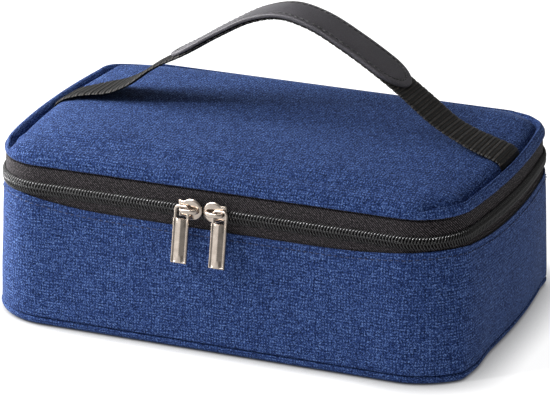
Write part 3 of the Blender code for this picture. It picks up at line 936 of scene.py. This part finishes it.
def stitch_row(name, centres, along, out, length, radius, look, body, slot):
    """Short rounded threads: centres, along and out are (count, 3) arrays of places and directions."""
    t = np.linspace(-0.5, 0.5, 5)
    lift = radius * (1 - (2 * t) ** 2) * 1.2 - radius * 0.6
    width = radius * np.sqrt(np.clip(1 - (2 * t) ** 6, 0.08, 1))
    side = np.cross(along, out)
    clouds = []
    for k in range(len(t)):
        middle = centres + along * (t[k] * length) + out * lift[k]
        clouds += [middle + (side * c - out * s) * width[k] for c, s in zip(*ring(TUBE_SIDES))]
    obj = copies_object(name, np.stack(clouds, 1), tube_faces(len(t)), look)
    return place(obj, body, slot)


def hem_stitches():
    """Stitches below the hem of the body's cloth."""
    s = np.arange(int(ROUND / HEM_STITCH)) * HEM_STITCH
    z = hem_z(s) - 3.2 * MM
    places = on_track(s, body_offset(s, z) + 0.1 * MM, z)
    normal = outline_at(s)[1]
    out = np.concatenate([normal, np.zeros((len(s), 1))], 1)
    along = np.stack([-out[:, 1], out[:, 0], out[:, 2]], 1)
    return stitch_row("body_hem_stitches", places, along, out, 2.3 * MM, 0.26 * MM, "blue_thread", "root",
                      "blue_fabric")


# --- inside ---

CRINKLE_SIZE = 11 * MM


def wall_layer(name, face, thickness, low_z, high_z, crinkle, slot, *nodes):
    """A closed sleeve inside the body; face is its outer offset at the rim."""
    rise = np.linspace(0, 1, 34)[:, None]
    z = low_z + (high_z - low_z) * rise + 0 * RING
    outer = face + BASE_GROW * (RIM_Z - z) / (RIM_Z - BASE_SEAM_Z)
    inner = outer - thickness
    if crinkle:
        folds = 0.5 + 0.5 * ripple(on_track(RING[None, :], inner, z), CRINKLE_SIZE, 5.0)
        inner = inner - crinkle * folds * (1 - smooth(rise, 0.84, 0.93))
    offset = np.vstack([inner[::-1], outer, inner[-1:]])
    obj = wall_object(name, RING, offset, np.vstack([z[::-1], z, z[-1:]]), slot, closed=True)
    weld(obj)
    return place(obj, "root", slot, *nodes)


def weld(obj, distance=0.01 * MM, cap_ends=False):
    """Merge points that lie together, close open ends if asked, and turn every face outwards."""
    bm = bmesh.new()
    bm.from_mesh(obj.data)
    bmesh.ops.remove_doubles(bm, verts=bm.verts, dist=distance)
    if cap_ends:
        bmesh.ops.holes_fill(bm, edges=[edge for edge in bm.edges if edge.is_boundary])
    bmesh.ops.recalc_face_normals(bm, faces=bm.faces)
    bm.to_mesh(obj.data)
    bm.free()


def flat_layer(name, grow, low_z, high_z, crinkle, slot, body, *nodes):
    """A sheet across the bag from low_z to high_z, crinkled on the side at high_z."""
    inward = np.array([3.0, 0.3, 0.0, 0.0, 0.3, 3.0])[:, None] * MM
    across = np.zeros(len(panel_s()))
    edge_z = np.array([low_z] * 3 + [high_z] * 3)[:, None] + across

    def bumps(points, at_edge):
        if at_edge:
            return points
        share = patch_share(PANEL_M, PANEL_N) ** 0.2
        points = points.copy()
        points[..., 2] += crinkle * ripple(points * (1, 1, 0), CRINKLE_SIZE, 6.0) * share
        return points

    obj = panel_object(name, grow - inward + across, edge_z, flat_crown, slot, bumps)
    return place(obj, body, slot, *nodes)


def make_inside():
    foam_face = -1.2 * MM
    foam_top = low("body_rim_binding").z - 0.3 * MM
    wall_low = low("wall_lining").z
    wall_layer("wall_foam_sheet", foam_face, 3.4 * MM, wall_low, foam_top, 0.0, "white_foam",
               "front_wall_foam", "back_wall_foam", "left_wall_foam", "right_wall_foam")
    wall_layer("wall_lining_foil", foam_face - 3.7 * MM, 0.3 * MM, wall_low, foam_top, 0.7 * MM,
               "silver_lining", "wall_lining")
    flat_layer("floor_foam_sheet", high("floor_foam").y - HALF_DEPTH - 0.4 * MM, low("floor_foam").z,
               high("floor_foam").z, 0.0, "white_foam", "root", "floor_foam")
    flat_layer("floor_lining_foil", high("floor_lining").y - HALF_DEPTH, low("floor_lining").z,
               high("floor_lining").z, 0.35 * MM, "silver_lining", "root", "floor_lining")
    weld(flat_layer("lid_lining_foil", high("lid_lining").y - HALF_DEPTH, high("lid_lining").z,
                    low("lid_lining").z, 0.4 * MM, "silver_lining", "lid", "lid_lining"))
    lid_foam_sheet()
    lid_rim = low("lid_rim_binding").z
    rim_tape("body_rim_tape", -1.0, 4.6, foam_top - 3 * MM, RIM_Z + 0.4 * MM, "root", "body_rim_binding")
    rim_tape("lid_rim_tape", -1.9, 2.8, lid_rim + 2.2 * MM, lid_rim - 0.3 * MM, "lid", "lid_rim_binding")


def lid_foam_sheet():
    s = panel_s()
    grow = -LID_INSET - 5.0 * MM
    low_z = low("lid_foam").z
    seam = LID_SEAM_Z - lid_drop(s)
    keys = [(grow - 3 * MM, low_z), (grow, low_z), (grow, np.maximum(seam - 2.0 * MM, low_z))]
    keys += keyed([(-2.0, -0.9), (-8.0, 0.3)], grow, seam)
    offsets, heights = section(s, keys)
    obj = panel_object("lid_foam_sheet", offsets, heights, lambda share: 1.2 * MM * domed(share),
                       "white_foam")
    return place(obj, "lid", "white_foam", "lid_foam")


def rim_tape(name, face, width, leg_z, cap_z, body, node):
    """Binding folded over the rim of the foam: a U with its back at cap_z; face and width in millimetres."""
    up = math.copysign(1.0, cap_z - leg_z)
    back = face - width
    keys = [(face * MM, leg_z)]
    keys += keyed([(face, -up * 0.9), (face - 0.35, -up * 0.15), (face - width / 2, 0.0),
                   (back + 0.35, -up * 0.15), (back, -up * 0.9)], 0.0, cap_z)
    keys += [(back * MM, leg_z)]
    if up < 0:
        keys = keys[::-1]
    obj = keyed_wall(name, RING, keys, 30, "black_binding", closed=True)
    thicken(obj, 0.4 * MM)
    return place(obj, body, "black_binding", node)


# --- handle ---

AXIS = Vector(JOINTS["handle_swing"]["pos_m"])
STRAP_Y = AXIS.y
STRAP_HALF = (high("left_strap_end").y - low("left_strap_end").y) / 2
SEAM_X = high("right_strap_end").x
WEBBING = 1.4 * MM                      # thickness of the strap
RIB_RELIEF = 0.24 * MM
ARCH_X = (low("handle_webbing").x + high("handle_webbing").x) / 2
ARCH_LEAN = math.radians(2.7)
STRAP_LINE = ((-121, -9.0), (-117, -6.0), (-114.6, -1.8), (-113.2, 1.2), (-110.5, 3.6), (-104, 6.4),
              (-95, 9.1), (-84, 12.2), (-76, 16.3), (-64, 25.2), (-46, 35.2), (-28, 46.6), (-12, 55.3),
              (3, 58.8), (17, 56.1), (36, 47.1), (56, 35.1), (72, 24.2), (86, 14.6), (96, 10.0), (105, 6.9),
              (110.5, 5.2), (113.5, 3.9), (115.4, 1.8), (116.6, -1.8), (121, -9.0))   # x, then height, in mm
GRIP_X = (high("handle_grip").x + low("handle_grip").x) / 2
GRIP_HALF = (high("handle_grip").x - low("handle_grip").x) / 2
GRIP_WIDTH = 26 * MM
GRIP_BASE = WEBBING / 2 + 0.15 * MM     # the pad's underside, above the middle of the strap


def strap_z(x):
    """Height of the middle of the webbing above x, before the handle leans back."""
    return LID_SEAM_Z + through(x / MM, STRAP_LINE) * MM


def strap_roll(x):
    """How steeply the strap falls towards the back, next to where it leaves the lid."""
    left = np.exp(-((x + 103 * MM) / (12 * MM)) ** 2)
    right = np.exp(-((x - 88 * MM) / (11 * MM)) ** 2)
    return 0.08 * left + 0.06 * right


def on_strap(x, y, height):
    """Points on the strap: y across it from its middle, height off its middle surface."""
    x, y, height = np.broadcast_arrays(x, y, height)
    step = 0.1 * MM
    slope = (strap_z(x + step) - strap_z(x - step)) / (2 * step)
    length = np.hypot(1, slope)
    out_x, out_z = -slope / length, 1 / length
    z = strap_z(x) + out_z * height - y * strap_roll(x)
    points = np.stack([x + out_x * height, STRAP_Y + y, z], -1)
    lift = smooth(-np.abs(x - ARCH_X), -76 * MM, -60 * MM)
    turned = turn_back(points)
    return points * (1 - lift[..., None]) + turned * lift[..., None]


def turn_back(points):
    """The points turned about the handle's axis by the arch's backward lean."""
    c, s = math.cos(ARCH_LEAN), math.sin(ARCH_LEAN)
    y, z = points[..., 1] - AXIS.y, points[..., 2] - AXIS.z
    return np.stack([points[..., 0], AXIS.y + y * c + z * s, AXIS.z - y * s + z * c], -1)


def webbing(name, end, nodes):
    """One half of the strap, from the lid's left (-1) or right (1) seam to the middle of the grip."""
    x = np.linspace(end * (SEAM_X - 0.5 * MM), ARCH_X + end * 0.05 * MM, 640)
    run = np.concatenate([[0], np.cumsum(np.hypot(np.diff(x), np.diff(strap_z(x))))])
    rib = np.abs(np.sin(math.pi * run / RIB_PITCH)) + np.sin(math.pi * run / (2 * RIB_PITCH)) ** 2
    half = STRAP_HALF - 0.3 * MM + 0.25 * MM * rib
    across = np.linspace(-1, 1, 15)

    def face(side):
        """Rows of the strap's upper (1) or lower (-1) face, thinner at its two edges."""
        thick = side * (WEBBING / 2 + RIB_RELIEF * rib)
        return np.stack([on_strap(x, half * a, thick * (1 - abs(a) ** 8 * 0.75) - side * 0.1 * MM)
                         for a in side * across])

    points = np.concatenate([face(1), face(-1), face(1)[:1]])
    v = np.concatenate([across, -across, [-1]]) * STRAP_HALF
    uv = np.stack(np.broadcast_arrays(run[None, :], v[:, None]), -1)
    obj = grid_object(name, points, uv, "black_webbing")
    weld(obj, 0.005 * MM, cap_ends=True)
    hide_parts(*nodes)
    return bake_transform(obj)


def stadium(inset, count):
    """Points (count, 2) and outward normals of the grip's outline, moved in by inset; x, then y."""
    half = GRIP_WIDTH / 2
    straight = GRIP_HALF - half
    knots = np.cumsum([0.0, 2 * straight, math.pi * half, 2 * straight, math.pi * half])
    along = np.arange(count) / count * knots[-1]
    angle = np.interp(along, knots, np.array([-0.5, -0.5, 0.5, 0.5, 1.5]) * math.pi)
    middle = np.interp(along, knots, np.array([-1, 1, 1, -1, -1]) * straight)
    normal = np.stack([np.cos(angle), np.sin(angle)], 1)
    return np.stack([middle, 0 * middle], 1) + normal * (half - inset), normal


def grip_pad():
    """Leather pad: a puffed middle, a sewn channel near the edge and a square-cut rim."""
    half = GRIP_WIDTH / 2 / MM
    rows = keyed([(half, 0.0), (half / 2, 0.0), (1.0, 0.0), (0.15, 0.0), (0.0, 0.2), (0.0, 1.2), (0.2, 1.6),
                  (0.7, 1.85), (1.2, 1.9), (2.0, 1.95), (2.5, 1.75), (2.75, 1.4), (3.05, 1.4), (3.35, 1.75),
                  (4.2, 2.0), (7.5, 2.15), (10.5, 2.25), (half, 2.3)], 0.0, GRIP_BASE)
    points = []
    for inset, height in rows:
        flat = stadium(inset, 300)[0]
        points.append(on_strap(GRIP_X + flat[:, 0], flat[:, 1], height))
    uv = np.zeros((len(rows), 301, 2))
    obj = grid_object("grip_pad", np.stack(points), uv, "grey_leather", closed=True)
    weld(obj)
    place(obj, "handle", "grey_leather", "handle_grip")
    return obj


def grip_stitches():
    flat, normal = stadium(2.9 * MM, 96)
    height = GRIP_BASE + 1.7 * MM
    step = 0.2 * MM * np.stack([-normal[:, 1], normal[:, 0]], 1)
    here = on_strap(GRIP_X + flat[:, 0], flat[:, 1], height)
    above = on_strap(GRIP_X + flat[:, 0], flat[:, 1], height + MM)
    ahead = on_strap(GRIP_X + flat[:, 0] + step[:, 0], flat[:, 1] + step[:, 1], height)
    return stitch_row("grip_stitches", here, unit(ahead - here), unit(above - here), 2.3 * MM, 0.32 * MM,
                      "black_thread", "handle", "grey_leather")


# --- sliders and pulls ---

SLIDER_Z = CHAIN_Z + 0.9 * MM
PLATE_SHIFT = 0.3 * MM                  # between a slider's nose and the middle between the two sliders


def stacked(loops):
    """Points and faces of a solid lofted through closed loops (rows, count, 3), capped at both ends."""
    rows, count = loops.shape[:2]
    last = (rows - 1) * count
    faces = quads(rows, count, True)[0].tolist()
    return loops.reshape(-1, 3), faces + [list(reversed(range(count))), list(range(last, last + count))]


def shells_object(name, shells, look):
    """One object of several closed shells, each (points, faces)."""
    bm = bmesh.new()
    for points, faces in shells:
        verts = [bm.verts.new(p) for p in points.tolist()]
        for face in faces:
            bm.faces.new([verts[i] for i in face])
    bmesh.ops.recalc_face_normals(bm, faces=bm.faces)
    mesh = bpy.data.meshes.new(name)
    bm.to_mesh(mesh)
    bm.free()
    obj = new_object(name, mesh, look)
    mesh.set_sharp_from_angle(angle=math.radians(48))
    return obj


def plate_loop(inset, side, nose_x):
    """Slider plate outline as (x, z), moved in by inset: a round nose, hollow shoulders, a pointed tail."""
    nose = 5.2 * MM
    angles = np.radians(np.linspace(-125, 125, 31))
    round_end = np.stack([np.cos(angles), np.sin(angles)], 1) * (nose - inset) - (nose, 0.0)
    tail = keyed([(-9.3, 3.7), (-11.5, 4.1), (-11.7, 3.8)], inset, -inset)
    lower_tail = [(x, -z) for x, z in reversed(tail)]
    x, z = np.array(list(round_end) + tail + [(tail[-1][0], 0.0)] + lower_tail).T
    return nose_x + side * (x - PLATE_SHIFT), SLIDER_Z + z


def slider_plate(side, nose_x, rows):
    """rows are the (inset, outward offset) pairs of the plate's loft, in millimetres."""
    loops = []
    for inset, offset in keyed(rows, 0.0, HALF_DEPTH):
        x, z = plate_loop(inset, side, nose_x)
        loops.append(np.stack([x, np.full_like(x, -offset), z], 1))
    return stacked(np.stack(loops))


def oval_tube(path, wide, thick):
    """A bar with a rounded oblong section along path at the height of the sliders; wide is its height."""
    tangent = unit(np.gradient(path, axis=0))
    normal = np.stack([-tangent[:, 1], tangent[:, 0]], 1)
    c, s = ring(16, 1 / 1.3)
    flat = path[:, None, :] + normal[:, None, :] * (c * thick / 2)[None, :, None]
    z = SLIDER_Z + s[None, :] * np.broadcast_to(wide, len(path))[:, None] / 2
    return np.concatenate([flat, z[..., None]], -1)


def slider(side_name, side):
    """Front and rear plates with turned-in flanges, the post between them and the arched bridge."""
    nose_x = (high("left_slider").x + low("right_slider").x) / 2
    front = slider_plate(side, nose_x, [(0.5, 1.75), (0.0, 1.75), (0.0, 2.2), (0.12, 2.5),
                                        (0.45, 2.72), (1.2, 2.85), (2.4, 2.95)])
    rear = slider_plate(side, nose_x, [(1.0, -3.3), (0.25, -3.1), (0.0, -2.8), (0.0, -2.3), (0.4, -2.2)])

    def bar(reach, wide, thick):
        """A bar through (distance behind the nose, distance out) points in millimetres."""
        x = nose_x - side * (reach[:, 0] * MM + PLATE_SHIFT)
        return stacked(oval_tube(np.stack([x, -(HALF_DEPTH + reach[:, 1] * MM)], 1), wide * MM, thick * MM))

    arch = spline_rows([(1.6, 2.4), (1.9, 4.3), (3.2, 5.5), (5.6, 5.95), (8.3, 5.95), (9.8, 5.3), (10.3, 4.2),
                        (10.35, 2.5)], 25)
    bridge = bar(arch, 2.3 - 0.5 * smooth(np.linspace(0, 1, len(arch)), 0.1, 0.75), 0.95)
    post = bar(np.array([(2.6, 2.2), (2.6, -2.6)]), 1.1, 1.8)
    obj = shells_object(side_name + "_slider_shell", [front, rear, bridge, post], "satin_nickel")
    return place(obj, side_name + "_slider_body", "satin_nickel", side_name + "_slider")


PULL_LEAN = math.radians(11)
PULL_HALF = 3.9 * MM                    # half its width; the heights below are from its pivot
PULL_TOP = 3.1 * MM
PULL_FOOT = -24.1 * MM
WINDOW_LOW = -3.1 * MM


def pull_points(local, pivot):
    """Place (x, out, z) points of the pull, measured from its pivot, on the leaning pull."""
    c, s = math.cos(PULL_LEAN), math.sin(PULL_LEAN)
    x, out, z = np.moveaxis(local, -1, 0)
    return np.stack([pivot.x + x, pivot.y - out * c + z * s, pivot.z + out * s + z * c], -1)


def pull_bar(pivot):
    """The solid bar: a raised rim with a roof-shaped ridge down its middle, and a flat back."""
    edge = np.concatenate([np.linspace(0.62, 0.76, 3), np.linspace(0.84, 1, 4)])
    across = np.concatenate([-edge[::-1], np.linspace(-0.56, 0.56, 17), edge])
    share = np.abs(across)
    rim = 0.85 * MM - 0.25 * MM * smooth(share, 0.94, 1.0)
    ridge = 0.35 * MM + 0.85 * MM * np.clip(1 - (np.hypot(share, 0.06) - 0.06) / 0.62, 0, 1)
    at_rim = smooth(share, 0.74, 0.82)
    top = WINDOW_LOW - 0.1 * MM
    stations = [(top, 0.75, 1), (top - 0.15 * MM, 1, 1)]
    stations += [(z, 1, 1) for z in np.linspace(top - 4 * MM, PULL_FOOT + 4 * MM, 6)]
    stations += [(PULL_FOOT + 0.9 * MM, 1, 1), (PULL_FOOT + 0.6 * MM, 1, 0), (PULL_FOOT + 0.15 * MM, 0.97, 0),
                 (PULL_FOOT, 0.7, 0)]
    loops = []
    for z, full, carved in stations:
        front = (ridge * (1 - at_rim) + rim * at_rim if carved else rim) * full
        narrow = 1 - 0.03 * (1 - full)
        xs = np.concatenate([across, [1, -1]]) * PULL_HALF * narrow
        outs = np.concatenate([front, np.full(2, -0.75 * MM * full)])
        loops.append(pull_points(np.stack([xs, outs, np.full_like(xs, z)], 1), pivot))
    return stacked(np.stack(loops))


def pull_frame(pivot):
    """The thin frame round the window, a bent strip with rounded upper corners."""
    side = PULL_HALF - 0.72 * MM
    top = PULL_TOP - 0.6 * MM
    cut = 1.5 * MM
    right = [(side, WINDOW_LOW - 1.0 * MM), (side, WINDOW_LOW), (side, 0.0)]
    right += [(side - cut + cut * math.cos(a), top - cut + cut * math.sin(a))
              for a in np.radians(np.linspace(0, 90, 7))]
    path = np.array(right + [(-x, z) for x, z in reversed(right)])
    tangent = unit(np.gradient(path, axis=0))
    normal = np.stack([tangent[:, 1], -tangent[:, 0]], 1)
    c, s = ring(12, 0.7)
    flat = path[:, None, :] + normal[:, None, :] * (c * 0.68 * MM)[None, :, None]
    out = np.broadcast_to(s * 0.55 * MM, flat.shape[:2])
    return stacked(pull_points(np.stack([flat[..., 0], out, flat[..., 1]], -1), pivot))


def pull(side_name):
    pivot = Vector(JOINTS[side_name + "_pull_swing"]["pos_m"])
    obj = shells_object(side_name + "_pull_bar", [pull_bar(pivot), pull_frame(pivot)], "satin_nickel")
    return place(obj, side_name + "_pull_body", "satin_nickel", side_name + "_slider_pull")


# --- stage ---

AMBIENT = 0.27
CAMERA_AZIMUTH = 22.4
CAMERA_ELEVATION = 21.0
CAMERA_TARGET = Vector((0, 0, 0.045))
CAMERA_DISTANCE = 1.693
CAMERA_LENS = 231.0
CAMERA_SHIFT = (-0.0024, 0.0127)
FLOOR_HALF = 12.0


def towards(azimuth, elevation):
    """Direction in degrees from the bag; azimuth 0 is in front of it and 90 on its right."""
    a, e = math.radians(azimuth), math.radians(elevation)
    return Vector((math.sin(a) * math.cos(e), -math.cos(a) * math.cos(e), math.sin(e)))


def aimed(name, data, azimuth, elevation, distance):
    """A lamp or camera that stands at a distance and looks at the bag."""
    away = towards(azimuth, elevation)
    obj = bpy.data.objects.new(name, data)
    obj.location = CAMERA_TARGET + away * distance
    obj.rotation_mode = "QUATERNION"
    obj.rotation_quaternion = (-away).to_track_quat("-Z", "Y")
    bpy.context.scene.collection.objects.link(obj)
    return obj


def soft_light(name, azimuth, elevation, distance, size, watts):
    """A square lamp aimed at the bag."""
    data = bpy.data.lights.new(name, "AREA")
    data.size = size
    data.energy = watts
    return aimed(name, data, azimuth, elevation, distance)


def glint_light(name, azimuth, elevation, spread, strength):
    """A distant small lamp that puts sharp highlights on nylon and metal; spread is its width in degrees."""
    data = bpy.data.lights.new(name, "SUN")
    data.angle = math.radians(spread)
    data.energy = strength
    return aimed(name, data, azimuth, elevation, 1.0)


def studio_world():
    """Even white light; what shines also mirrors a bright left, a dim right and a window pane."""
    world = bpy.data.worlds.new("studio")
    world.use_nodes = True
    nodes = Nodes(world.node_tree)
    sight = nodes.add("ShaderNodeTexCoord").outputs["Generated"]

    def glow(direction, start, end, lowest, highest):
        facing = nodes.add("ShaderNodeVectorMath", {"operation": "DOT_PRODUCT"})
        nodes.feed(facing.inputs[0], sight)
        nodes.feed(facing.inputs[1], direction)
        return nodes.span(facing.outputs["Value"], start, end, lowest, highest)

    side = glow(towards(-80, 25), 0.1, 0.85, 0.22, 1.25)
    pane = glow(towards(-42, 44), 0.935, 0.985, 0.0, 20.0)
    mirrored = nodes.add("ShaderNodeLightPath").outputs["Is Glossy Ray"]
    shining = nodes.math("SUBTRACT", nodes.math("ADD", side, pane), AMBIENT)
    background = world.node_tree.nodes["Background"]
    nodes.feed(background.inputs["Color"], WHITE)
    nodes.feed(background.inputs["Strength"], nodes.math("MULTIPLY_ADD", mirrored, shining, AMBIENT))
    return world


def make_stage():
    corners = np.array([(-1, -1, 0), (1, -1, 0), (1, 1, 0), (-1, 1, 0)]) * FLOOR_HALF
    floor_mesh = mesh_from("floor", corners, np.array([[0, 1, 2, 3]]), corners[:, :2])
    new_object("floor", floor_mesh, "pale_floor")
    bpy.context.scene.world = studio_world()
    soft_light("key_light", -78, 38, 0.56, 0.34, 2.9)
    soft_light("edge_light", -85, 10, 0.42, 0.26, 2.0)
    glint_light("glint_light", -50, 38, 5.0, 1.1)
    bpy.context.scene.view_settings.view_transform = "Standard"


def make_camera():
    data = bpy.data.cameras.new("camera")
    data.sensor_width = 36.0
    data.lens = CAMERA_LENS
    data.shift_x, data.shift_y = CAMERA_SHIFT
    camera = aimed("camera", data, CAMERA_AZIMUTH, CAMERA_ELEVATION, CAMERA_DISTANCE)
    bpy.context.scene.camera = camera


# --- assembly ---

def main():
    make_camera()
    make_stage()
    body_cloth()
    bottom_cloth()
    lid_band_cloth()
    lid_top_cloth()
    hinge_cloth()
    zip_tape("body", "root", -1, RIM_Z - 6 * MM, hem_z)
    zip_tape("lid", "lid", 1, LID_EDGE_Z + 1.5 * MM, lid_edge_z)
    for make_teeth in (coil, coil_stitches):
        make_teeth("body", "root", -1)
        make_teeth("lid", "lid", 1)
    hem_stitches()
    make_inside()
    webbing("left_webbing", -1, ["left_strap_end", "handle_webbing"])
    webbing("right_webbing", 1, ["right_strap_end"])
    grip_pad()
    grip_stitches()
    slider("left", 1)
    slider("right", -1)
    pull("left")
    pull("right")


main()
